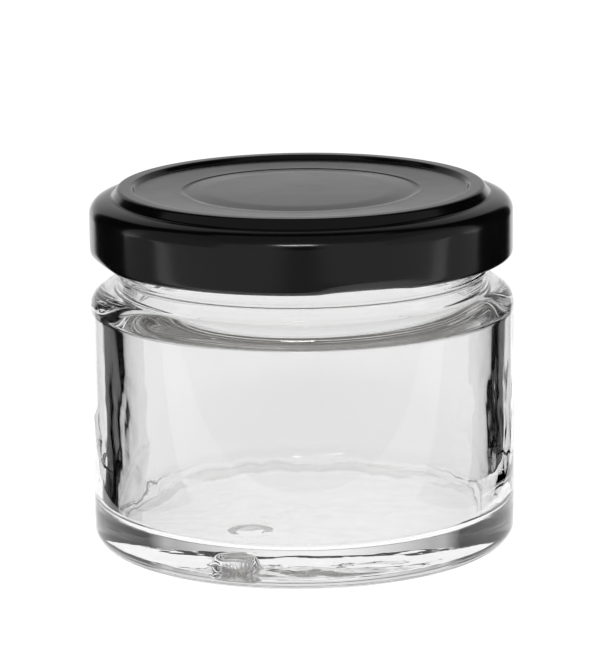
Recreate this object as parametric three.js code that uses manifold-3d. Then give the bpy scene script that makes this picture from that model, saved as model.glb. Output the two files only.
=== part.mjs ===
// Squat glass jar with a stamped twist-off lid, in millimetres and degrees, +Z up.
// The origin is the centre of the base, on the surface that the jar stands on.

import * as THREE from 'three';
import { mergeVertices } from 'three/addons/utils/BufferGeometryUtils.js';
import Module from 'manifold-3d';

// Neck and rim of the glass
const neckRadius = 26.8;
const neckWall = 2.5;
const neckHeight = 12.05;
const neckFillet = 0.8;
const rimOuterRound = 0.9;
const rimInnerRound = 0.7;

// Body of the glass
const shoulderTop = 37.6;
const shoulderLedge = 0.3;
const shoulderRadius = 2.8;
const throatDepth = 4.5;
const throatRound = 1.3;
const wallThickness = 3.9;
const heelRadius = 2.4;

// Base of the glass
const bearingWidth = 4.6;
const pushUp = 0.45;
const floorHeight = 5.2;
const floorRise = 0.4;
const floorCorner = 2.4;

// Round locating dimple under the base
const dimpleRadius = 3.3;
const dimpleDepth = 1.8;
const dimpleEdge = 1.8;
const dimpleInset = 10.6;
const dimpleAngle = 234;

// Four thread leads on the neck, right-handed
const leadCount = 4;
const leadPerTurn = 14;
const leadDepth = 1.7;
const leadRootHeight = 1.5;
const leadCrestHeight = 0.8;
const leadUnderRise = 0.25;
const leadBeforeLug = 17;
const leadBelowRim = 0.9;
const leadRunout = 14;
const leadSink = 0.4;

// Sheet of the lid
const sheet = 0.25;
const ledgeHeight = 8.45;
const cornerRadius = 2.0;
const curlRadius = 0.7;
const beadHeight = 1.6;
const beadAngle = 55;
const beadRound = 0.7;
const beadFillet = 0.7;
const beadInset = 0.75;
const beadCrest = 1.55;
const panelDrop = 0.7;
const panelSlope = 1.6;

// Button in the middle of the lid: a step down, a shallow cone and a slight dome
const stepRadius = 16.8;
const stepWidth = 0.25;
const stepDepth = 0.2;
const coneWidth = 4.2;
const coneRise = 0.2;
const domeRise = 0.08;

// Lugs, where the inner side of the curl is drawn inwards under the thread leads
const lugAngle = 287;
const lugFlat = 14;
const lugBlend = 7;
const lugLift = 0.15;

// Sealing ring
const sealThickness = 0.55;
const sealInset = 0.4;
const sealOverhang = 1.3;
const sealChamfer = 0.4;

// Clearances
const lugToLead = 0.25;
const lugToNeck = 0.4;
const curlToLead = 0.65;
const sealToSheet = 0.1;
const sealToRim = 0.05;

// Facets
const turnFacets = 60;
const arcFacets = 4;
const smallArcFacets = 3;
const slopeFacets = 3;
const domeFacets = 3;
const curlFacets = 8;
const leadFacets = 18;
const weldTolerance = 1e-5;

// Radii that follow from the sizes above
const boreRadius = neckRadius - neckWall;
const bodyRadius = neckRadius + neckFillet + shoulderLedge + shoulderRadius;
const innerRadius = bodyRadius - wallThickness;
const boreRound = innerRadius - boreRadius - throatRound;
const bearingOuter = bodyRadius - heelRadius;
const bearingInner = bearingOuter - bearingWidth;
const curlInner = neckRadius + leadDepth + curlToLead;
const skirtRadius = curlInner + 2 * curlRadius;
const lugDepth = curlInner - neckRadius - lugToNeck;
const beadRadius = neckRadius - beadInset;
const crestRadius = beadRadius - beadCrest;
const panelRadius = crestRadius - panelSlope;
const stepInner = stepRadius - stepWidth;
const coneInner = stepInner - coneWidth;

// Heights that follow from the sizes above
const shoulderZ = shoulderTop - shoulderRadius;
const throatZ = shoulderTop - throatDepth;
const boreZ = throatZ + throatRound + boreRound;
const rimTop = shoulderTop + neckHeight;
const sealBottom = rimTop + sealToRim;
const ledgeZ = sealBottom + sealThickness + sealToSheet + sheet;
const crestZ = ledgeZ + beadHeight;
const panelZ = crestZ - panelDrop;
const stepZ = panelZ - stepDepth;
const coneZ = stepZ + coneRise;
const curlZ = ledgeZ - ledgeHeight + curlRadius;
const leadUnderZ = curlZ + curlRadius + lugToLead;

// Turn of a lead from the middle of its lug up to its end below the rim
const leadRise = rimTop - rimOuterRound - leadBelowRim - leadRootHeight - leadUnderZ;
const leadAfterLug = 360 * leadRise / leadPerTurn;

const wasm = await Module();
wasm.setup();

const { clamp, degToRad, radToDeg, lerp, smoothstep, euclideanModulo } = THREE.MathUtils;
const point = (r, z) => new THREE.Vector2(r, z);

// Points on an arc about (r, z), from one angle to another
function arc(r, z, radius, from, to, facets = arcFacets) {
  const points = [];
  for (let i = 0; i <= facets; i += 1) {
    const angle = degToRad(lerp(from, to, i / facets));
    points.push(point(r + radius * Math.cos(angle), z + radius * Math.sin(angle)));
  }
  return points;
}

// Points on an S-shaped slope that leaves and arrives level
function slope(fromR, fromZ, toR, toZ) {
  const points = [];
  for (let i = 0; i <= slopeFacets; i += 1) {
    const share = i / slopeFacets;
    const climbed = (1 - Math.cos(Math.PI * share)) / 2;
    points.push(point(lerp(fromR, toR, share), lerp(fromZ, toZ, climbed)));
  }
  return points;
}

// Points on a shallow dome, from its middle out to its edge
function dome(edgeR, edgeZ, height) {
  const points = [];
  for (let i = 0; i <= domeFacets; i += 1) {
    const share = i / domeFacets;
    points.push(point(edgeR * share, edgeZ + height * (1 - share * share)));
  }
  return points;
}

// The same path moved sideways by a distance, to the right of its direction
function parallel(path, distance) {
  const directions = path.slice(1).map((here, i) => here.clone().sub(path[i]).normalize());
  return path.map((here, i) => {
    const arriving = directions[Math.max(i - 1, 0)];
    const leaving = directions[Math.min(i, directions.length - 1)];
    const normal = point(arriving.y + leaving.y, -arriving.x - leaving.x);
    return here.clone().addScaledVector(normal, distance / (1 + arriving.dot(leaving)));
  });
}

// Shares the vertices of a geometry and drops triangles that have no area
function weld(geometry) {
  const bare = geometry.clone();
  bare.deleteAttribute('normal');
  bare.deleteAttribute('uv');
  const welded = mergeVertices(bare, weldTolerance);
  const index = welded.getIndex().array;
  const kept = [];
  for (let i = 0; i < index.length; i += 3) {
    const corners = [index[i], index[i + 1], index[i + 2]];
    if (new Set(corners).size === corners.length) {
      kept.push(...corners);
    }
  }
  welded.setIndex(kept);
  return welded;
}

// Turns a profile of radii and heights about the Z axis
function revolve(profile) {
  const distinct = profile.filter((here, i) => i === 0 || here.distanceTo(profile[i - 1]) > weldTolerance);
  const geometry = new THREE.LatheGeometry(distinct, turnFacets);
  return weld(geometry.rotateX(Math.PI / 2));
}

function toSolid(geometry) {
  const welded = weld(geometry);
  const vertProperties = new Float32Array(welded.getAttribute('position').array);
  const triVerts = new Uint32Array(welded.getIndex().array);
  return new wasm.Manifold(new wasm.Mesh({ numProp: 3, vertProperties, triVerts }));
}

function toGeometry(solid) {
  const mesh = solid.getMesh();
  const geometry = new THREE.BufferGeometry();
  geometry.setAttribute('position', new THREE.BufferAttribute(mesh.vertProperties, 3));
  geometry.setIndex(new THREE.BufferAttribute(mesh.triVerts, 1));
  geometry.computeVertexNormals();
  return geometry;
}

// Glass in section, from the middle of the underside, up the outside and down the inside
function glassProfile() {
  const floorEdge = innerRadius - floorCorner;
  const rimOuter = neckRadius - rimOuterRound;
  const rimInner = boreRadius + rimInnerRound;
  return [
    ...dome(bearingInner, 0, pushUp),
    ...arc(bearingOuter, heelRadius, heelRadius, -90, 0),
    ...arc(bodyRadius - shoulderRadius, shoulderZ, shoulderRadius, 0, 90),
    ...arc(neckRadius + neckFillet, shoulderTop + neckFillet, neckFillet, 270, 180, smallArcFacets),
    ...arc(rimOuter, rimTop - rimOuterRound, rimOuterRound, 0, 90, smallArcFacets),
    ...arc(rimInner, rimTop - rimInnerRound, rimInnerRound, 90, 180, smallArcFacets),
    ...arc(boreRadius + boreRound, boreZ, boreRound, 180, 270),
    ...arc(innerRadius - throatRound, throatZ, throatRound, 90, 0),
    ...arc(floorEdge, floorHeight + floorCorner, floorCorner, 0, -90),
    ...slope(floorEdge, floorHeight, 0, floorHeight + floorRise),
  ];
}

// One thread lead: a straight ridge wrapped round the neck and rising, with both ends run out
function threadLead(lugAt) {
  const section = new THREE.Shape([
    point(-leadSink, 0),
    point(leadDepth, leadUnderRise),
    point(leadDepth, leadUnderRise + leadCrestHeight),
    point(-leadSink, leadRootHeight),
  ]);
  const span = leadBeforeLug + leadAfterLug;
  const ridge = new THREE.ExtrudeGeometry(section, { depth: span, steps: leadFacets, bevelEnabled: false });
  const position = ridge.getAttribute('position');
  for (let i = 0; i < position.count; i += 1) {
    const out = position.getX(i);
    const along = position.getZ(i);
    const fromEnd = Math.min(along, span - along, leadRunout) / leadRunout;
    const full = Math.sin(fromEnd * Math.PI / 2);
    const radius = neckRadius + (out < 0 ? out : lerp(-leadSink / 2, out, full));
    const turned = leadAfterLug - along;
    const angle = degToRad(lugAt + turned);
    const z = leadUnderZ + position.getY(i) + leadPerTurn * turned / 360;
    position.setXYZ(i, radius * Math.cos(angle), radius * Math.sin(angle), z);
  }
  return ridge;
}

// The space that the locating dimple takes out of the base, from below it upwards
function dimpleSpace() {
  const top = pushUp + dimpleDepth;
  const space = revolve([
    point(0, -dimpleDepth),
    point(dimpleRadius, -dimpleDepth),
    ...arc(dimpleRadius - dimpleEdge, top - dimpleEdge, dimpleEdge, 0, 90),
    point(0, top),
  ]);
  const fromAxis = bearingInner - dimpleInset;
  const angle = degToRad(dimpleAngle);
  return space.translate(fromAxis * Math.cos(angle), fromAxis * Math.sin(angle), 0);
}

function glassJar() {
  let solid = toSolid(revolve(glassProfile()));
  for (let i = 0; i < leadCount; i += 1) {
    solid = solid.add(toSolid(threadLead(lugAngle + i * 360 / leadCount)));
  }
  return toGeometry(solid.subtract(toSolid(dimpleSpace())));
}

// Outer side of the raised bead in section, rounded into its crest and into the ledge
function beadSlope() {
  const lean = degToRad(beadAngle);
  const rounds = beadRound + beadFillet;
  const straight = (beadHeight - rounds * (1 - Math.cos(lean))) / Math.sin(lean);
  const foot = beadRadius + rounds * Math.sin(lean) + straight * Math.cos(lean);
  return [
    ...arc(beadRadius, crestZ - beadRound, beadRound, 90, 90 - beadAngle, smallArcFacets),
    ...arc(foot, ledgeZ + beadFillet, beadFillet, 270 - beadAngle, 270, smallArcFacets),
  ];
}

// Outer face of the lid's sheet in section, from the middle of the button to the curl
function sheetPath() {
  return [
    ...dome(coneInner, coneZ, domeRise),
    point(stepInner, stepZ),
    point(stepRadius, panelZ),
    ...slope(panelRadius, panelZ, crestRadius, crestZ),
    ...beadSlope(),
    ...arc(skirtRadius - cornerRadius, ledgeZ - cornerRadius, cornerRadius, 90, 0),
    point(skirtRadius, curlZ),
  ];
}

// Turn from the nearest lug's middle, and how far into that lug it lies: 1 on its flat, 0 past its blends
function nearestLug(angle) {
  const pitch = 360 / leadCount;
  const turned = euclideanModulo(angle - lugAngle + pitch / 2, pitch) - pitch / 2;
  const share = 1 - smoothstep(Math.abs(turned), lugFlat / 2, lugFlat / 2 + lugBlend);
  return { turned, share };
}

// Draws the inner side of the curl inwards at each lug, along the same rise as the thread leads
function formLugs(geometry) {
  const position = geometry.getAttribute('position');
  for (let i = 0; i < position.count; i += 1) {
    const z = position.getZ(i);
    if (z > curlZ + curlRadius + weldTolerance) {
      continue;
    }
    const angle = Math.atan2(position.getY(i), position.getX(i));
    const radius = Math.hypot(position.getX(i), position.getY(i));
    const lug = nearestLug(radToDeg(angle));
    const inner = clamp((skirtRadius - sheet - radius) / (2 * curlRadius - sheet), 0, 1);
    const low = clamp((curlZ - z) / curlRadius, 0, 1);
    const drawn = lug.share * inner;
    const r = radius - lugDepth * drawn;
    const risen = leadPerTurn * lug.turned / 360 * drawn + lugLift * lug.share * low;
    position.setXYZ(i, r * Math.cos(angle), r * Math.sin(angle), z + risen);
  }
  return geometry;
}

function lidShell() {
  const outside = sheetPath();
  const curlEnd = radToDeg(Math.acos((curlRadius - sheet) / curlRadius));
  const curl = arc(skirtRadius - curlRadius, curlZ, curlRadius, 0, curlEnd - 360, curlFacets);
  const curlTop = curl[curlFacets].y;
  const inside = parallel(outside, sheet).filter((here) => here.y > curlTop);
  inside[0].setX(0);
  return formLugs(revolve([...inside, ...curl.reverse(), ...outside.reverse()]));
}

// Sealing ring: fills the channel under the bead and reaches down to the glass rim
function sealingRing() {
  const inner = Math.max(boreRadius + sealInset, crestRadius + sealToSheet);
  const outer = neckRadius + sealOverhang;
  const channel = parallel(beadSlope(), sheet + sealToSheet).reverse();
  return revolve([
    point(inner, sealBottom + sealChamfer),
    point(inner + sealChamfer, sealBottom),
    point(outer - sealChamfer, sealBottom),
    point(outer, sealBottom + sealChamfer),
    point(outer, sealBottom + sealThickness),
    ...channel,
    point(inner, crestZ - sheet - sealToSheet),
    point(inner, sealBottom + sealChamfer),
  ]);
}

function piece(name, geometry, look) {
  const mesh = new THREE.Mesh(geometry, new THREE.MeshStandardMaterial(look));
  mesh.name = name;
  return mesh;
}

const clearGlass = { color: 0xe6ebe8, roughness: 0.04, metalness: 0, transparent: true, opacity: 0.35 };
const softSeal = { color: 0xd8d6cf, roughness: 0.6, metalness: 0 };
const blackLacquer = { color: 0x121213, roughness: 0.22, metalness: 0.1 };

const jar = new THREE.Group();
jar.add(piece('glass_jar', glassJar(), clearGlass));
jar.add(piece('sealing_ring', sealingRing(), softSeal));
jar.add(piece('lid_shell', lidShell(), blackLacquer));

export default jar;
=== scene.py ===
"""Squat glass jar with a black twist-off lid, dressed for a studio photograph.

Sizes are in millimetres and angles in degrees until a mesh or a node takes them in metres and radians.
"""

import math

import bpy
import numpy as np
from mathutils import Matrix, Vector


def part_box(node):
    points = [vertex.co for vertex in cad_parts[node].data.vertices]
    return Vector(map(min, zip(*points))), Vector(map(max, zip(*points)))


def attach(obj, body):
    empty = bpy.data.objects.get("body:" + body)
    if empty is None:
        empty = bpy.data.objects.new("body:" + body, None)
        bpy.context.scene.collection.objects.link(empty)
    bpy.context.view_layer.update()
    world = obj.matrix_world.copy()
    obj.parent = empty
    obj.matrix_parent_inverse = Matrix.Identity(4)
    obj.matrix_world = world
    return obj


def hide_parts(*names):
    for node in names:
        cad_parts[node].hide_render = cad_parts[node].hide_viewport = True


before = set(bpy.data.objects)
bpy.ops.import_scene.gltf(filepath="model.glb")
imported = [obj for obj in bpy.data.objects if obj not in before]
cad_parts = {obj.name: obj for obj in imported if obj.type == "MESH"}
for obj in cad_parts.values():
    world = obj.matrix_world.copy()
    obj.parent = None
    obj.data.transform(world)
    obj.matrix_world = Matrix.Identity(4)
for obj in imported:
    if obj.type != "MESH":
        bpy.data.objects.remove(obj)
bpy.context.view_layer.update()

MM = 0.001
TURN = 2 * math.pi

# Outer sizes, from the frame
jar_high = Vector(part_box("glass_jar")[1]) / MM
lid_low, lid_high = (Vector(corner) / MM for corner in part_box("lid_shell"))
ring_low = Vector(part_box("sealing_ring")[0]) / MM
body_radius = jar_high.x
rim_top = jar_high.z
skirt_radius = lid_high.x
crest_z = lid_high.z

# Neck and rim of the glass
neck_radius = 26.8
bore_radius = 24.3
neck_fillet = 0.5
rim_outer_round = 0.9
rim_inner_round = 0.7
seam_z = 40.0
seam_width = 0.7
seam_height = 0.2

# Body of the glass
shoulder_top = 37.6
shoulder_radius = 2.8
throat_z = 33.6
throat_round = 0.55
wall_thickness = 3.9
heel_radius = 2.4
inner_radius = body_radius - wall_thickness
bore_round = inner_radius - bore_radius - throat_round
bore_z = throat_z + throat_round + bore_round
shoulder_z = shoulder_top - shoulder_radius

# Base of the glass
bearing_width = 4.6
bearing_outer = body_radius - heel_radius
bearing_inner = bearing_outer - bearing_width
push_up = 0.2
floor_height = 5.2
floor_rise = 0.4
floor_corner = 1.5
floor_corner_height = 1.6

# Round locating dimple under the base
dimple_radius = 2.8
dimple_depth = 1.7
dimple_wall = 1.2
dimple_inset = 10.6
dimple_angle = 234.0
dimple_margin = 3.4
dimple_from_axis = bearing_inner - dimple_inset

# Unevenness of the glass: ripples of the inside, its shift off the axis, and waves of the base
ripple_depth = 0.2
ripple_size = 8.0
ripple_stretch = 0.35
ripple_margin = 0.1
ripple_above_floor = 0.3
ripple_above_corner = 6.0
ripple_full_below_throat = 11.0
ripple_below_throat = 1.5
core_shift = 0.5
wave_depth = 0.09
wave_size = 13.0
wave_inset = 3.0
wave_full_y = -4.0
wave_calm_y = 12.0
wave_calm_share = 0.12

# Thread leads, and the lugs that hook under them
lead_count = 4
lead_per_turn = 14.0
lead_depth = 1.7
lead_root_height = 1.5
lead_before_lug = 17.0
lead_runout = 14.0
lead_below_rim = 0.9
lead_margin = 0.6
lead_foot_share = 0.28
lead_top_share = 0.62
lug_angle = 287.0
lug_flat = 14.0
lug_blend = 7.0
lug_lift = 0.15
lug_dent = 0.8
lug_dent_spread = 1.4
lug_to_lead = 0.25
lug_to_neck = 0.4

# Sheet of the lid
sheet = 0.25
bead_height = 1.35
bead_round = 0.7
bead_fillet = 0.7
bead_angle = 55.0
bead_crest = 1.55
bead_inset = 0.75
ledge_slope = 8.0
ledge_radius = 7.0
ledge_turn = 22.0
curl_radius = 0.7
panel_drop = 0.8
panel_slope = 0.7
panel_dish = 0.2
step_radius = 17.3
step_width = 0.12
step_depth = 0.05
step_flat = 0.05
step_fillet = 0.4
cone_width = 3.6
cone_rise = 0.2
dome_rise = 0.08
ledge_z = crest_z - bead_height
panel_z = crest_z - panel_drop
bead_radius = neck_radius - bead_inset
crest_radius = bead_radius - bead_crest
panel_radius = crest_radius - panel_slope
curl_z = lid_low.z + curl_radius
lug_depth = skirt_radius - 2 * curl_radius - neck_radius - lug_to_neck
lead_under_z = curl_z + curl_radius + lug_to_lead

# Sealing ring
ring_outer_radius = 28.1
ring_from_bore = 0.4
ring_inner_round = 0.4
ring_outer_round = 0.25
ring_to_sheet = 0.1
ring_edge = 0.15

# Facets round the axis, and a length too small to see
turn_facets = 256
hair = 0.01


def linear(code):
    """Linear RGBA of an sRGB hex colour."""
    shares = [int(code[i:i + 2], 16) / 255 for i in (1, 3, 5)]
    return [s / 12.92 if s <= 0.04045 else ((s + 0.055) / 1.055) ** 2.4 for s in shares] + [1]


def add_node(tree, kind, inputs=None, **settings):
    """Adds a node with its settings, and sets or links its inputs by name or place."""
    node = tree.nodes.new(kind)
    for name, value in settings.items():
        setattr(node, name, value)
    for place, value in (inputs or {}).items():
        if isinstance(value, bpy.types.NodeSocket):
            tree.links.new(value, node.inputs[place])
        else:
            node.inputs[place].default_value = value
    return node


def maths(tree, operation, *values):
    return add_node(tree, "ShaderNodeMath", dict(enumerate(values)), operation=operation).outputs[0]


def remap(tree, value, start, end, at_start=0, at_end=1, kind="LINEAR"):
    """A value that goes from at_start to at_end while the given one goes from start to end."""
    return add_node(tree, "ShaderNodeMapRange", {
        "Value": value, "From Min": start, "From Max": end, "To Min": at_start, "To Max": at_end},
        interpolation_type=kind).outputs[0]


def ease_between(tree, value, start, end):
    """A share that goes softly from 0 to 1 while the value goes from start to end."""
    return remap(tree, value, start, end, kind="SMOOTHSTEP")


def noise(tree, place, grain, detail, roughness=0.5):
    """Noise of a grain in millimetres."""
    return add_node(tree, "ShaderNodeTexNoise", {
        "Vector": place, "Scale": 1 / (grain * MM), "Detail": detail, "Roughness": roughness}).outputs[0]


def bump(tree, height, strength, depth, over=None):
    """A normal bumped by a depth in millimetres, over another bump where there is one."""
    inputs = {"Height": height, "Strength": strength, "Distance": depth * MM}
    if over is not None:
        inputs["Normal"] = over
    return add_node(tree, "ShaderNodeBump", inputs).outputs[0]


def tint(tree, share, low, high):
    """A colour between two sRGB hex colours."""
    tone = add_node(tree, "ShaderNodeValToRGB", {"Fac": share})
    tone.color_ramp.elements[0].color = linear(low)
    tone.color_ramp.elements[1].color = linear(high)
    return tone.outputs[0]


# Profiles of radii and heights

def line(r0, z0, r1, z1, steps):
    return [(r0 + (r1 - r0) * i / steps, z0 + (z1 - z0) * i / steps) for i in range(steps + 1)]


def arc(r, z, radius, start, end, steps):
    angles = [math.radians(start + (end - start) * i / steps) for i in range(steps + 1)]
    return [(r + radius * math.cos(a), z + radius * math.sin(a)) for a in angles]


def ease(r0, z0, r1, z1, steps):
    """An S-shaped slope that leaves and arrives level."""
    points = line(r0, 0, r1, math.pi, steps)
    return [(r, z0 + (z1 - z0) * (1 - math.cos(share)) / 2) for r, share in points]


def distinct(profile):
    """The profile without points that repeat the one before."""
    return [p for i, p in enumerate(profile) if i == 0 or math.dist(p, profile[i - 1]) > 1e-4]


def offset(path, distance):
    """The path moved sideways, to the right of its direction."""
    points = np.array(path)
    ahead = np.diff(points, axis=0)
    ahead /= np.linalg.norm(ahead, axis=1)[:, None]
    arriving = np.vstack([ahead[:1], ahead])
    leaving = np.vstack([ahead, ahead[-1:]])
    bisector = arriving + leaving
    reach = distance / (1 + (arriving * leaving).sum(axis=1))
    normal = np.column_stack([bisector[:, 1], -bisector[:, 0]])
    return [tuple(p) for p in points + normal * reach[:, None]]


def revolve(name, profile, closed=False):
    """Turns a profile about the Z axis; the outside lies to the right of the profile's direction."""
    angles = np.arange(turn_facets) * TURN / turn_facets
    vertices, rings, faces = [], [], []
    for r, z in profile:
        if r < 1e-6:
            rings.append([len(vertices)] * turn_facets)
            vertices.append((0, 0, z * MM))
            continue
        rings.append(list(range(len(vertices), len(vertices) + turn_facets)))
        vertices += [(r * MM * math.cos(a), r * MM * math.sin(a), z * MM) for a in angles]
    for lower, upper in zip(rings, rings[1:] + (rings[:1] if closed else [])):
        for i in range(turn_facets):
            j = (i + 1) % turn_facets
            corners = [lower[i], lower[j], upper[j], upper[i]]
            faces.append(list(dict.fromkeys(corners)))
    mesh = bpy.data.meshes.new(name)
    mesh.from_pydata(vertices, [], faces, shade_flat=False)
    piece = bpy.data.objects.new(name, mesh)
    bpy.context.collection.objects.link(piece)
    return piece


def new_tree(name, sizes):
    """An empty Geometry Nodes tree with named inputs for its sizes and a material."""
    tree = bpy.data.node_groups.new(name, "GeometryNodeTree")
    tree.interface.new_socket("Geometry", in_out="INPUT", socket_type="NodeSocketGeometry")
    for size in sizes:
        tree.interface.new_socket(size, in_out="INPUT", socket_type="NodeSocketFloat")
    tree.interface.new_socket("Material", in_out="INPUT", socket_type="NodeSocketMaterial")
    tree.interface.new_socket("Geometry", in_out="OUTPUT", socket_type="NodeSocketGeometry")
    return tree


def round_axis(tree, zero):
    """The parts of a vertex's position, its way out from the axis, its radius, and its turn past zero."""
    position = add_node(tree, "GeometryNodeInputPosition").outputs[0]
    place = add_node(tree, "ShaderNodeSeparateXYZ", {0: position}).outputs
    level = add_node(tree, "ShaderNodeVectorMath", {
        0: position, 1: (1, 1, 0)}, operation="MULTIPLY").outputs[0]
    outward = add_node(tree, "ShaderNodeVectorMath", {0: level}, operation="NORMALIZE").outputs[0]
    radius = add_node(tree, "ShaderNodeVectorMath", {0: level}, operation="LENGTH").outputs["Value"]
    angle = maths(tree, "ARCTAN2", place["Y"], place["X"])
    return place, outward, radius, maths(tree, "SUBTRACT", angle, zero)


def end_tree(tree, source, moved):
    """Ends a tree: the moved vertices are realized and take the material."""
    placed = add_node(tree, "GeometryNodeSetPosition", {
        "Geometry": source.outputs["Geometry"], "Offset": moved})
    realized = add_node(tree, "GeometryNodeRealizeInstances", {0: placed.outputs[0]})
    coated = add_node(tree, "GeometryNodeSetMaterial", {
        "Geometry": realized.outputs[0], "Material": source.outputs["Material"]})
    add_node(tree, "NodeGroupOutput", {0: coated.outputs[0]})


def apply_tree(piece, tree, values):
    """Runs a tree on a piece and keeps the result as a plain mesh."""
    modifier = piece.modifiers.new(tree.name, "NODES")
    modifier.node_group = tree
    for socket in tree.interface.items_tree:
        if socket.in_out == "INPUT" and socket.name in values:
            modifier[socket.identifier] = values[socket.name]
    evaluated = piece.evaluated_get(bpy.context.evaluated_depsgraph_get())
    mesh = bpy.data.meshes.new_from_object(evaluated)
    piece.modifiers.clear()
    piece.data = mesh


# Thread leads stand out of the neck, and the inside of the wall ripples as blown glass does

def moulded_glass_tree():
    tree = new_tree("moulded_glass", [
        "Lead Count", "Lead Start", "Lead End", "Lead Runout", "Lead Rise", "Lead Depth", "Lead Height",
        "Under Z", "Lug Angle", "Neck Radius", "Bore Z", "Throat Z",
        "Ripple Depth", "Ripple Size", "Ripple Radius", "Ripple Low", "Ripple High", "Ripple Full",
        "Ripple Top", "Core Shift", "Wave Depth", "Wave Size", "Wave Radius"])
    source = add_node(tree, "NodeGroupInput")
    size = source.outputs
    place, outward, radius, past = round_axis(tree, size["Lug Angle"])

    # Turn from the nearest lead's lug, and height above that lead's underside
    pitch = maths(tree, "DIVIDE", TURN, size["Lead Count"])
    stop = maths(tree, "ADD", size["Lead Start"], pitch)
    turned = maths(tree, "WRAP", past, stop, size["Lead Start"])
    climbed = maths(tree, "MULTIPLY", turned, size["Lead Rise"])
    under = maths(tree, "ADD", size["Under Z"], climbed)
    above = maths(tree, "SUBTRACT", place["Z"], under)
    share = maths(tree, "DIVIDE", above, size["Lead Height"])

    # Section of a lead: a steep underside, a flat crest and a sloped top, run out at both ends
    foot = ease_between(tree, share, 0, lead_foot_share)
    top = ease_between(tree, share, 1, lead_top_share)
    first = maths(tree, "ADD", size["Lead Start"], size["Lead Runout"])
    last = maths(tree, "SUBTRACT", size["Lead End"], size["Lead Runout"])
    leading = ease_between(tree, turned, size["Lead Start"], first)
    trailing = ease_between(tree, turned, size["Lead End"], last)
    outer = maths(tree, "GREATER_THAN", radius, size["Neck Radius"])
    section = maths(tree, "MULTIPLY", foot, top)
    ends = maths(tree, "MULTIPLY", leading, trailing)
    ridge = maths(tree, "MULTIPLY", section, ends)
    shown = maths(tree, "MULTIPLY", ridge, outer)
    lead = maths(tree, "MULTIPLY", shown, size["Lead Depth"])

    # Ripple of the inside, long in the direction in which the glass was blown
    position = add_node(tree, "GeometryNodeInputPosition").outputs[0]
    flow = add_node(tree, "ShaderNodeVectorMath", {
        0: position, 1: (1, 1, ripple_stretch)}, operation="MULTIPLY").outputs[0]
    scale = maths(tree, "DIVIDE", 1, size["Ripple Size"])
    streaks = add_node(tree, "ShaderNodeTexNoise", {
        "Vector": flow, "Scale": scale, "Detail": 4, "Roughness": 0.6}).outputs[0]
    swing = remap(tree, streaks, 0, 1, -1, 1)
    inside = maths(tree, "LESS_THAN", radius, size["Ripple Radius"])
    from_floor = ease_between(tree, place["Z"], size["Ripple Low"], size["Ripple High"])
    rippled = maths(tree, "MULTIPLY", swing, size["Ripple Depth"])
    from_throat = ease_between(tree, place["Z"], size["Ripple Top"], size["Ripple Full"])
    between = maths(tree, "MULTIPLY", from_floor, from_throat)
    masked = maths(tree, "MULTIPLY", inside, between)
    ripple = maths(tree, "MULTIPLY", rippled, masked)

    both = maths(tree, "ADD", lead, ripple)
    radial = add_node(tree, "ShaderNodeVectorMath", {
        0: outward, "Scale": both}, operation="SCALE").outputs[0]

    # The blowing left the inside a little off the axis, below a true bore
    from_bore = ease_between(tree, place["Z"], size["Bore Z"], size["Throat Z"])
    low_inside = maths(tree, "MULTIPLY", inside, from_floor)
    share_aside = maths(tree, "MULTIPLY", low_inside, from_bore)
    aside = maths(tree, "MULTIPLY", share_aside, size["Core Shift"])
    shifted = add_node(tree, "ShaderNodeCombineXYZ", {"X": aside}).outputs[0]
    sideways = add_node(tree, "ShaderNodeVectorMath", {0: radial, 1: shifted}, operation="ADD").outputs[0]

    # Waves in the thickness of the base, on its floor and on its underside
    closer = maths(tree, "DIVIDE", 1, size["Wave Size"])
    swell = add_node(tree, "ShaderNodeTexNoise", {
        "Vector": position, "Scale": closer, "Detail": 2}).outputs[0]
    height = remap(tree, swell, 0, 1, -1, 1)
    near_floor = ease_between(tree, place["Z"], size["Ripple High"], size["Ripple Low"])
    within = ease_between(tree, radius, size["Ripple Radius"], size["Wave Radius"])
    uneven = remap(tree, place["Y"], wave_full_y * MM, wave_calm_y * MM, 1, wave_calm_share)
    spread = maths(tree, "MULTIPLY", within, uneven)
    based = maths(tree, "MULTIPLY", near_floor, spread)
    wave = maths(tree, "MULTIPLY", height, based)
    swelled = maths(tree, "MULTIPLY", wave, size["Wave Depth"])
    upward = add_node(tree, "ShaderNodeCombineXYZ", {"Z": swelled}).outputs[0]
    moved = add_node(tree, "ShaderNodeVectorMath", {0: sideways, 1: upward}, operation="ADD").outputs[0]
    end_tree(tree, source, moved)
    return tree


# Lugs: the inner side of the curled edge is drawn inwards at even spaces round the skirt

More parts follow.
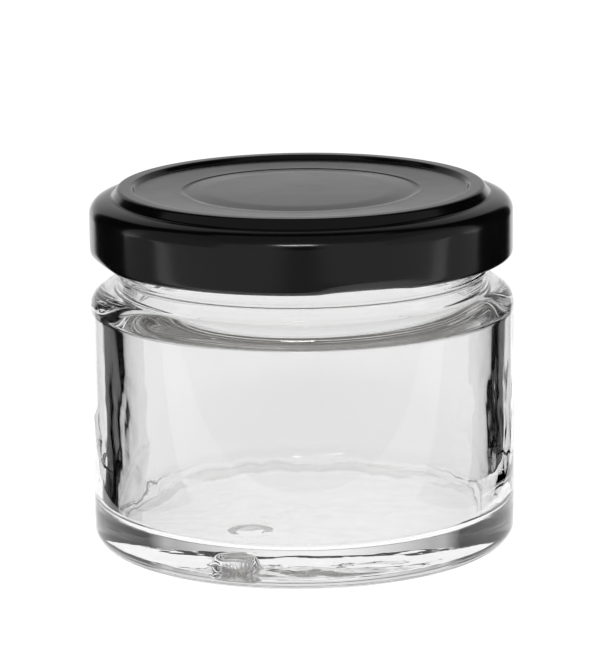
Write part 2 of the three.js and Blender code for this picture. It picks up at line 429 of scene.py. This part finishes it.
def drawn_lugs_tree():
    tree = new_tree("drawn_lugs", [
        "Lug Count", "Lug Angle", "Lug Flat", "Lug Blend", "Lug Depth", "Lug Dent", "Lug Lift", "Lead Rise",
        "Outer Radius", "Inner Radius", "Curl Z", "Curl Radius"])
    source = add_node(tree, "NodeGroupInput")
    size = source.outputs
    place, outward, radius, past = round_axis(tree, size["Lug Angle"])

    # Turn from the nearest lug's middle, and how far into that lug it lies
    half = maths(tree, "DIVIDE", math.pi, size["Lug Count"])
    back = maths(tree, "MULTIPLY", half, -1)
    turned = maths(tree, "WRAP", past, half, back)
    apart = maths(tree, "ABSOLUTE", turned)
    flat = maths(tree, "MULTIPLY", size["Lug Flat"], 0.5)
    edge = maths(tree, "ADD", flat, size["Lug Blend"])
    lug = ease_between(tree, apart, edge, flat)

    # Only the curl moves, the more the nearer it lies to the axis
    top = maths(tree, "ADD", size["Curl Z"], size["Curl Radius"])
    curled = maths(tree, "LESS_THAN", place["Z"], top)
    inner = remap(tree, radius, size["Outer Radius"], size["Inner Radius"])
    masked = maths(tree, "MULTIPLY", lug, curled)
    drawn = maths(tree, "MULTIPLY", masked, inner)
    depth = maths(tree, "MULTIPLY", drawn, size["Lug Depth"])

    # The outside of the curl is dented a little, the more the lower it lies
    bottom = maths(tree, "SUBTRACT", size["Curl Z"], size["Curl Radius"])
    lower = remap(tree, place["Z"], top, bottom)
    outer = maths(tree, "SUBTRACT", 1, inner)
    wide = maths(tree, "MULTIPLY", edge, lug_dent_spread)
    spread = ease_between(tree, apart, wide, 0)
    sunk = maths(tree, "MULTIPLY", spread, outer)
    pulled = maths(tree, "MULTIPLY", sunk, lower)
    dent = maths(tree, "MULTIPLY", pulled, size["Lug Dent"])
    both = maths(tree, "ADD", depth, dent)
    inward = maths(tree, "MULTIPLY", both, -1)
    sideways = add_node(tree, "ShaderNodeVectorMath", {
        0: outward, "Scale": inward}, operation="SCALE").outputs[0]

    # The lug follows the rise of the thread lead above it, and its underside is pressed up a little
    climbed = maths(tree, "MULTIPLY", turned, size["Lead Rise"])
    followed = maths(tree, "MULTIPLY", climbed, drawn)
    low = remap(tree, place["Z"], size["Curl Z"], bottom)
    under = maths(tree, "MULTIPLY", masked, low)
    pressed = maths(tree, "MULTIPLY", under, size["Lug Lift"])
    upward = maths(tree, "ADD", followed, pressed)
    rise = add_node(tree, "ShaderNodeCombineXYZ", {"Z": upward}).outputs[0]
    moved = add_node(tree, "ShaderNodeVectorMath", {0: sideways, 1: rise}, operation="ADD").outputs[0]
    end_tree(tree, source, moved)
    return tree


# Materials

def new_material(name):
    material = bpy.data.materials.new(name)
    material.use_nodes = True
    material.node_tree.nodes.clear()
    return material, material.node_tree


def soda_lime_glass():
    """Soda-lime glass, pressed and blown: clear, with long soft ripples and a fire-polished skin."""
    material, tree = new_material("soda_lime_glass")
    place = add_node(tree, "ShaderNodeTexCoord").outputs["Object"]
    drawn = add_node(tree, "ShaderNodeMapping", {"Vector": place, "Scale": (1, 1, 0.3)}).outputs[0]
    ripple = noise(tree, drawn, grain=5, detail=3, roughness=0.45)
    skin = noise(tree, place, grain=0.9, detail=1)
    height = add_node(tree, "ShaderNodeSeparateXYZ", {0: place}).outputs["Z"]
    calmer = remap(tree, height, 22 * MM, 32 * MM, at_start=0.35, at_end=0.05)
    waves = bump(tree, ripple, strength=calmer, depth=0.06)
    above_base = remap(tree, height, 7 * MM, 10 * MM, at_start=0.02, at_end=0.3)
    below_throat = remap(tree, height, 32 * MM, 29 * MM, at_start=0.02, at_end=0.3)
    rougher = maths(tree, "MINIMUM", above_base, below_throat)
    surface = bump(tree, skin, strength=rougher, depth=0.004, over=waves)
    haze = noise(tree, place, grain=14, detail=4)
    roughness = remap(tree, haze, 0.35, 0.75, at_start=0.0, at_end=0.02)
    shader = add_node(tree, "ShaderNodeBsdfPrincipled", {
        "Base Color": linear("#f0f0f0"), "IOR": 1.52, "Transmission Weight": 1.0,
        "Roughness": roughness, "Normal": surface})
    add_node(tree, "ShaderNodeOutputMaterial", {"Surface": shader.outputs[0]})
    return material


def black_lid_lacquer():
    """Stoved black lacquer on tinplate: deep, glossy, with a faint orange peel and a slightly wavy sheet."""
    material, tree = new_material("black_lid_lacquer")
    place = add_node(tree, "ShaderNodeTexCoord").outputs["Object"]
    sheet_wave = noise(tree, place, grain=9, detail=2)
    peel = noise(tree, place, grain=0.7, detail=2)
    waves = bump(tree, sheet_wave, strength=0.25, depth=0.1)
    surface = bump(tree, peel, strength=0.2, depth=0.006, over=waves)
    flow = noise(tree, place, grain=6, detail=5, roughness=0.6)
    roughness = remap(tree, flow, 0.3, 0.7, at_start=0.13, at_end=0.19)
    tone = tint(tree, flow, "#070707", "#0d0d0e")
    shader = add_node(tree, "ShaderNodeBsdfPrincipled", {
        "Base Color": tone, "IOR": 1.5, "Roughness": roughness, "Normal": surface})
    add_node(tree, "ShaderNodeOutputMaterial", {"Surface": shader.outputs[0]})
    return material


def white_lid_enamel():
    """White food-safe enamel inside the lid: pale, satin, with the faint rolling lines of the sheet."""
    material, tree = new_material("white_lid_enamel")
    place = add_node(tree, "ShaderNodeTexCoord").outputs["Object"]
    rolled = add_node(tree, "ShaderNodeMapping", {"Vector": place, "Scale": (0.04, 1, 1)}).outputs[0]
    lines = noise(tree, rolled, grain=0.35, detail=3)
    surface = bump(tree, lines, strength=0.2, depth=0.01)
    roughness = remap(tree, lines, 0.3, 0.7, at_start=0.28, at_end=0.4)
    tone = tint(tree, lines, "#d6d4cd", "#e6e4de")
    shader = add_node(tree, "ShaderNodeBsdfPrincipled", {
        "Base Color": tone, "IOR": 1.5, "Roughness": roughness, "Normal": surface})
    add_node(tree, "ShaderNodeOutputMaterial", {"Surface": shader.outputs[0]})
    return material


def flowed_in_plastisol():
    """PVC plastisol, flowed in and cured: a soft cream ring with a satin skin and small flow marks."""
    material, tree = new_material("flowed_in_plastisol")
    place = add_node(tree, "ShaderNodeTexCoord").outputs["Object"]
    flow = noise(tree, place, grain=3, detail=4)
    grain = noise(tree, place, grain=0.4, detail=2)
    surface = bump(tree, grain, strength=0.3, depth=0.02)
    roughness = remap(tree, flow, 0.3, 0.7, at_start=0.42, at_end=0.58)
    tone = tint(tree, flow, "#ece7dc", "#f6f3ec")
    shader = add_node(tree, "ShaderNodeBsdfPrincipled", {
        "Base Color": tone, "IOR": 1.52, "Roughness": roughness, "Normal": surface})
    add_node(tree, "ShaderNodeOutputMaterial", {"Surface": shader.outputs[0]})
    return material


# Pieces

def press_dimple(piece):
    """Presses the round locating dimple up into the underside of the base."""
    turn = math.radians(dimple_angle)
    middle = Vector((math.cos(turn), math.sin(turn))) * dimple_from_axis
    for vertex in piece.data.vertices:
        if vertex.co.z > floor_height / 2 * MM:
            continue
        apart = (vertex.co.xy / MM - middle).length / dimple_radius
        edge = min(max((1 - apart) * dimple_radius / dimple_wall, 0), 1)
        vertex.co.z += dimple_depth * math.sqrt(edge * (2 - edge)) * MM


def glass_jar():
    floor_edge = inner_radius - floor_corner
    corner = arc(0, 0, 1, 0, -90, 20)
    seam = [(neck_radius + seam_height * math.sin(share * math.pi), seam_z + seam_width * (share - 0.5))
            for r, share in line(0, 0, 0, 1, 8)]
    near, far = dimple_from_axis - dimple_margin, dimple_from_axis + dimple_margin
    under = line(0, 0, near, 0, 8) + line(near, 0, far, 0, 40) + line(far, 0, bearing_inner, 0, 8)
    profile = distinct(
        [(r, push_up * (1 - (r / bearing_inner) ** 2)) for r, z in under]
        + line(bearing_inner, 0, bearing_outer, 0, 4)
        + arc(bearing_outer, heel_radius, heel_radius, -90, 0, 14)
        + line(body_radius, heel_radius, body_radius, shoulder_z, 24)
        + arc(body_radius - shoulder_radius, shoulder_z, shoulder_radius, 0, 90, 14)
        + arc(neck_radius + neck_fillet, shoulder_top + neck_fillet, neck_fillet, 270, 180, 10)
        + line(neck_radius, shoulder_top + neck_fillet, neck_radius, seam_z - seam_width / 2, 4)
        + seam
        + line(neck_radius, seam_z + seam_width / 2, neck_radius, lead_under_z - lead_margin, 6)
        + line(neck_radius, lead_under_z - lead_margin, neck_radius, rim_top - rim_outer_round, 36)
        + arc(neck_radius - rim_outer_round, rim_top - rim_outer_round, rim_outer_round, 0, 90, 8)
        + arc(bore_radius + rim_inner_round, rim_top - rim_inner_round, rim_inner_round, 90, 180, 8)
        + line(bore_radius, rim_top - rim_inner_round, bore_radius, bore_z, 10)
        + arc(bore_radius + bore_round, bore_z, bore_round, 180, 270, 8)
        + arc(inner_radius - throat_round, throat_z, throat_round, 90, 0, 14)
        + line(inner_radius, throat_z, inner_radius, floor_height + floor_corner_height, 44)
        + [(floor_edge + floor_corner * r, floor_height + floor_corner_height * (1 + z)) for r, z in corner]
        + ease(floor_edge, floor_height, 0, floor_height + floor_rise, 30))
    piece = revolve("glass_jar_form", profile)
    press_dimple(piece)
    lead_rise = rim_top - rim_outer_round - lead_below_rim - lead_root_height - lead_under_z
    apply_tree(piece, moulded_glass_tree(), {
        "Lead Count": float(lead_count),
        "Lead Start": math.radians(-lead_before_lug),
        "Lead End": min(lead_rise / lead_per_turn, 1 / lead_count - lead_before_lug / 360) * TURN,
        "Lead Runout": math.radians(lead_runout),
        "Lead Rise": lead_per_turn * MM / TURN,
        "Lead Depth": lead_depth * MM,
        "Lead Height": lead_root_height * MM,
        "Under Z": lead_under_z * MM,
        "Lug Angle": math.radians(lug_angle),
        "Neck Radius": (neck_radius - hair) * MM,
        "Bore Z": bore_z * MM,
        "Throat Z": (throat_z + throat_round) * MM,
        "Ripple Depth": ripple_depth * MM,
        "Ripple Size": ripple_size * MM,
        "Ripple Radius": (inner_radius + ripple_margin) * MM,
        "Ripple Low": (floor_height + ripple_above_floor) * MM,
        "Ripple High": (floor_height + floor_corner_height + ripple_above_corner) * MM,
        "Ripple Full": (throat_z - ripple_full_below_throat) * MM,
        "Ripple Top": (throat_z - ripple_below_throat) * MM,
        "Core Shift": core_shift * MM,
        "Wave Depth": wave_depth * MM,
        "Wave Size": wave_size * MM,
        "Wave Radius": (bearing_inner - wave_inset) * MM,
        "Material": soda_lime_glass()})
    return piece


def bead_slope():
    """Outer side of the raised bead, rounded into its crest and into the ledge."""
    lean = math.radians(bead_angle)
    rounds = bead_round + bead_fillet
    straight = (bead_height - rounds * (1 - math.cos(lean))) / math.sin(lean)
    foot = bead_radius + rounds * math.sin(lean) + straight * math.cos(lean)
    return (arc(bead_radius, crest_z - bead_round, bead_round, 90, 90 - bead_angle, 10)
            + arc(foot, ledge_z + bead_fillet, bead_fillet, 270 - bead_angle, 270 - ledge_slope, 10))


def lid_corner(start):
    """Ledge that bends away from the bead, and the tighter corner into the skirt."""
    slope, turn = math.radians(ledge_slope), math.radians(ledge_turn)
    middle = start[0] - ledge_radius * math.sin(slope)
    middle_z = start[1] - ledge_radius * math.cos(slope)
    ledge = arc(middle, middle_z, ledge_radius, 90 - ledge_slope, 90 - ledge_turn, 10)
    end, end_z = ledge[-1]
    radius = (skirt_radius - end) / (1 - math.sin(turn))
    corner_z = end_z - radius * math.cos(turn)
    return ledge + arc(skirt_radius - radius, corner_z, radius, 90 - ledge_turn, 0, 18)


def lid_shell():
    bead = bead_slope()
    corner = lid_corner(bead[-1])
    step_inner = step_radius - step_width
    cone_inner = step_inner - cone_width
    step_z = panel_z - step_depth
    cone_z = step_z + cone_rise
    dome = [(r, cone_z + dome_rise * (1 - (r / cone_inner) ** 2)) for r, z in line(0, 0, cone_inner, 0, 16)]
    outside = distinct(
        dome
        + line(cone_inner, cone_z, step_inner, step_z, 4)
        + line(step_inner + hair, step_z + hair, step_radius - hair, panel_z - hair, 2)
        + line(step_radius, panel_z, step_radius + step_flat, panel_z, 1)
        + line(step_radius + step_fillet, panel_z, panel_radius, panel_z + panel_dish, 4)
        + ease(panel_radius, panel_z + panel_dish, crest_radius, crest_z, 14)
        + line(crest_radius, crest_z, bead_radius, crest_z, 3)
        + bead
        + corner
        + line(skirt_radius, corner[-1][1], skirt_radius, curl_z, 10))
    curl_end = math.degrees(math.acos((curl_radius - sheet) / curl_radius))
    curl = arc(skirt_radius - curl_radius, curl_z, curl_radius, 0, curl_end - 360, 30)
    inside = [p for p in offset(outside, sheet) if p[1] > curl[-1][1]]
    inside[0] = (0, inside[0][1])
    profile = distinct(inside + curl[::-1] + outside[::-1])
    piece = revolve("lid_shell_form", profile)
    apply_tree(piece, drawn_lugs_tree(), {
        "Lug Count": float(lead_count),
        "Lug Angle": math.radians(lug_angle),
        "Lug Flat": math.radians(lug_flat),
        "Lug Blend": math.radians(lug_blend),
        "Lug Depth": lug_depth * MM,
        "Lug Dent": lug_dent * MM,
        "Lug Lift": lug_lift * MM,
        "Lead Rise": lead_per_turn * MM / TURN,
        "Outer Radius": (skirt_radius - sheet) * MM,
        "Inner Radius": (skirt_radius - 2 * curl_radius) * MM,
        "Curl Z": curl_z * MM,
        "Curl Radius": curl_radius * MM,
        "Material": black_lid_lacquer()})
    piece.data.materials.append(white_lid_enamel())
    for face in piece.data.polygons[:(len(inside) - 1) * turn_facets]:
        face.material_index = 1
    return piece


def sealing_ring():
    inner, outer, bottom = bore_radius + ring_from_bore, ring_outer_radius, ring_low.z
    channel = offset(bead_slope(), sheet + ring_to_sheet)[::-1]
    top = channel[-1][1]
    profile = distinct(
        arc(inner + ring_inner_round, bottom + ring_inner_round, ring_inner_round, 180, 270, 6)
        + line(inner + ring_inner_round, bottom, outer - ring_outer_round, bottom, 8)
        + arc(outer - ring_outer_round, bottom + ring_outer_round, ring_outer_round, -90, 0, 5)
        + [(outer, channel[0][1] - ring_edge)]
        + channel
        + line(channel[-1][0], top, inner, top, 4)
        + line(inner, top, inner, bottom + ring_inner_round, 4)[:-1])
    piece = revolve("sealing_ring_form", profile, closed=True)
    piece.data.materials.append(flowed_in_plastisol())
    return piece


for form, node, body, slot in (
        (glass_jar(), "glass_jar", "jar", "clear_glass"),
        (lid_shell(), "lid_shell", "lid", "black_lacquer"),
        (sealing_ring(), "sealing_ring", "lid_seal", "seal")):
    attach(form, body)
    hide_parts(node)


# Studio

FLAT = (0, 0, 0)
UPRIGHT = (90, 0, 0)
SIDEWAYS = (90, 0, 90)


def studio_panel(name, width, height, place, tilt, glow):
    """A flat stage panel with an even glow, centred on its place."""
    corners = [(-width / 2, -height / 2, 0), (width / 2, -height / 2, 0),
               (width / 2, height / 2, 0), (-width / 2, height / 2, 0)]
    mesh = bpy.data.meshes.new(name)
    mesh.from_pydata([Vector(c) * MM for c in corners], [], [(0, 1, 2, 3)])
    panel = bpy.data.objects.new(name, mesh)
    panel.location = Vector(place) * MM
    panel.rotation_euler = [math.radians(a) for a in tilt]
    bpy.context.collection.objects.link(panel)
    material, tree = new_material(name)
    light = add_node(tree, "ShaderNodeEmission", {"Color": linear(glow)})
    add_node(tree, "ShaderNodeOutputMaterial", {"Surface": light.outputs[0]})
    mesh.materials.append(material)
    return panel


def studio_floor():
    """A white table, lit by the room and glowing of itself, with a painted pool of light under the jar where its
    glow is a little stronger, so that shadows stay faint.
    """
    floor = studio_panel("floor", 6000, 6000, (0, 0, -0.02), FLAT, "#ffffff")
    tree = floor.data.materials[0].node_tree
    tree.nodes.clear()
    paint = add_node(tree, "ShaderNodeBsdfDiffuse", {"Color": linear("#f2f2f2")})
    place = add_node(tree, "ShaderNodeTexCoord").outputs["Object"]
    apart = add_node(tree, "ShaderNodeVectorMath", {0: place}, operation="LENGTH").outputs["Value"]
    # Painted pool of light: the floor's own glow is stronger under the jar than around it, which paints out the
    # jar's shadow
    pooled_glow_under_jar = remap(tree, apart, 27 * MM, 36 * MM, at_start=0.97, at_end=0.82)
    glow = add_node(tree, "ShaderNodeEmission", {"Strength": pooled_glow_under_jar})
    lit = add_node(tree, "ShaderNodeAddShader", {0: paint.outputs[0], 1: glow.outputs[0]})
    add_node(tree, "ShaderNodeOutputMaterial", {"Surface": lit.outputs[0]})


def unseen(panel):
    """Leaves a panel to gloss and glass: it isn't seen straight, and it neither lights nor shades."""
    panel.visible_camera = False
    panel.visible_diffuse = False
    panel.visible_shadow = False


def only_in_glass(panel):
    """Leaves a panel to what is seen through the glass."""
    unseen(panel)
    panel.visible_glossy = False
    return panel


def only_in_gloss(panel):
    """Leaves a panel to what gloss mirrors."""
    unseen(panel)
    panel.visible_transmission = False
    return panel


def fading_card(name, width, height, place, tilt, fade, tone="#000000", faces=3.5):
    """A dark card that fades out at one end and isn't seen through more glass faces than its count."""
    panel = studio_panel(name, width, height, place, tilt, tone)
    tree = panel.data.materials[0].node_tree
    card = tree.nodes["Emission"]
    passed = add_node(tree, "ShaderNodeLightPath").outputs["Transmission Depth"]
    through = maths(tree, "GREATER_THAN", passed, faces)
    spot = add_node(tree, "ShaderNodeTexCoord").outputs["Object"]
    along = add_node(tree, "ShaderNodeSeparateXYZ", {0: spot}).outputs["X"]
    ended = remap(tree, along, (width / 2 - fade) * MM, width / 2 * MM)
    faded = maths(tree, "MAXIMUM", through, ended)
    clear = add_node(tree, "ShaderNodeBsdfTransparent")
    mixed = add_node(tree, "ShaderNodeMixShader", {0: faded, 1: card.outputs[0], 2: clear.outputs[0]})
    tree.links.new(mixed.outputs[0], tree.nodes["Material Output"].inputs["Surface"])
    return panel


def side_flag(name, side, apart, along, heights, fade):
    """A black card that stands beside the jar and fades out at its far end."""
    near, far = along
    low, high = heights
    place = (side * apart, (near + far) / 2, (low + high) / 2)
    return fading_card(name, far - near, high - low, place, SIDEWAYS, fade)


def shade_across(card, middle, edge, start, end):
    """Turns a card's even glow into a soft change from its middle to its two sides."""
    tree = card.data.materials[0].node_tree
    spot = add_node(tree, "ShaderNodeTexCoord").outputs["Object"]
    across = add_node(tree, "ShaderNodeSeparateXYZ", {0: spot}).outputs["X"]
    apart = maths(tree, "ABSOLUTE", across)
    share = remap(tree, apart, start * MM, end * MM)
    tree.links.new(tint(tree, share, middle, edge), tree.nodes["Emission"].inputs["Color"])
    return card


def studio_room():
    """White low down and darker overhead, the same all round."""
    world = bpy.data.worlds.new("studio")
    bpy.context.scene.world = world
    world.use_nodes = True
    tree = world.node_tree
    tree.nodes.clear()
    direction = add_node(tree, "ShaderNodeTexCoord").outputs["Generated"]
    height = add_node(tree, "ShaderNodeSeparateXYZ", {0: direction}).outputs["Z"]
    tone = add_node(tree, "ShaderNodeValToRGB", {"Fac": height})
    ramp = tone.color_ramp
    ramp.elements[0].position, ramp.elements[0].color = 0.0, linear("#ffffff")
    ramp.elements[1].position, ramp.elements[1].color = 1.0, linear("#727272")
    for position, shade in ((0.08, "#dcdcdc"), (0.24, "#b8b8b8"), (0.55, "#848484")):
        ramp.elements.new(position).color = linear(shade)
    light = add_node(tree, "ShaderNodeBackground", {"Color": tone.outputs[0]})
    add_node(tree, "ShaderNodeOutputWorld", {"Surface": light.outputs[0]})


def strip_light():
    """A narrow strip in front and above, which draws the short bright dashes on the rounded edges."""
    light = bpy.data.lights.new("strip_light", "AREA")
    light.shape = "RECTANGLE"
    light.size, light.size_y = 225 * MM, 80 * MM
    light.energy = 1.0
    lamp = bpy.data.objects.new("strip_light", light)
    rise, swing, reach = math.radians(34), math.radians(-2.6), 800 * MM
    aim = Vector((0, 0, 45 * MM))
    level = math.cos(rise)
    away = Vector((math.sin(swing) * level, -math.cos(swing) * level, math.sin(rise)))
    facing = away.to_track_quat("Z", "Y").to_matrix().to_4x4()
    lamp.matrix_world = Matrix.Translation(aim + away * reach) @ facing
    bpy.context.collection.objects.link(lamp)


def studio_camera():
    """The photograph's view: 534 mm away, 12.7 degrees above level, on a long lens."""
    camera = bpy.data.cameras.new("camera")
    camera.sensor_width = 36
    camera.lens = 202.9
    view = bpy.data.objects.new("camera", camera)
    bpy.context.collection.objects.link(view)
    rise, roll, reach = 0.2216, -0.0113, 534.1 * MM
    aim = Vector((0.75, 0, 31.23)) * MM
    place = aim + Vector((0, -math.cos(rise), math.sin(rise))) * reach
    turn = Matrix.Rotation(math.pi / 2 - rise, 4, "X") @ Matrix.Rotation(roll, 4, "Z")
    view.matrix_world = Matrix.Translation(place) @ turn
    bpy.context.scene.camera = view


studio_floor()
studio_room()
strip_light()
studio_camera()

# Dark cards beside and behind the jar draw the dark edges and streaks of the glass; grey ones shade the gloss
for side, hand, glass_end, gloss_end, tone in (
        (-1, "left", 46, 36, "#868686"),
        (1, "right", 44, 48, "#a0a0a0")):
    for name, apart, along, heights, fade in (
            ("_glass_flag", 52, (-8, glass_end), (0, 30), 8),
            ("_back_flag", 165, (40, 320), (15, 130), 60),
            ("_upper_flag", 52, (30, 60), (24, 48), 8)):
        only_in_glass(side_flag(hand + name, side, apart, along, heights, fade))
    only_in_glass(fading_card(
        hand + "_floor_shade", 260, 375, (side * 165, 360, 0.6), (0, 0, 90 + side * 90),
        fade=50, tone="#6a6a6a", faces=99))
    only_in_gloss(side_flag(
        hand + "_gloss_flag", side, apart=52, along=(-8, gloss_end), heights=(0, 160), fade=8))
    only_in_gloss(studio_panel(hand + "_card", 648, 110, (side * 376, 10, 1), FLAT, tone))
    only_in_gloss(studio_panel(hand + "_wall", 765, 600, (side * 700, -317.5, 301), SIDEWAYS, tone))
# A painted shadow on the floor just behind the jar: a thin dark strip that is seen only through the glass
only_in_glass(fading_card("painted_shadow_behind_jar", 110, 4.2, (0, 40.8, 0.5), FLAT, fade=1))

# Broad cards with a soft change across: white behind the glass, grey before the lid and the glass
only_in_glass(shade_across(
    studio_panel("back_card", 400, 140, (0, 420, 130), UPRIGHT, "#ffffff"),
    middle="#ffffff", edge="#b0b0b0", start=40, end=190))
# The flat card in front, which the lid and the glass mirror, is darker in its middle: a painted shadow of the
# camera on the floor in front
only_in_gloss(shade_across(
    studio_panel("front_card_and_camera_shadow", 1400, 620, (0, -390, 1), FLAT, "#b4b4b4"),
    middle="#868686", edge="#b4b4b4", start=20, end=60))
only_in_gloss(shade_across(
    studio_panel("front_wall", 1400, 600, (0, -700, 301), UPRIGHT, "#b4b4b4"),
    middle="#101010", edge="#b4b4b4", start=65, end=160))
only_in_gloss(studio_panel("back_gap", 1400, 420, (0, 300, 577), UPRIGHT, "#000000"))

scene = bpy.context.scene
scene.view_settings.view_transform = "Standard"
scene.cycles.max_bounces = 24
scene.cycles.transmission_bounces = 24
scene.cycles.glossy_bounces = 12
scene.cycles.use_denoising = True
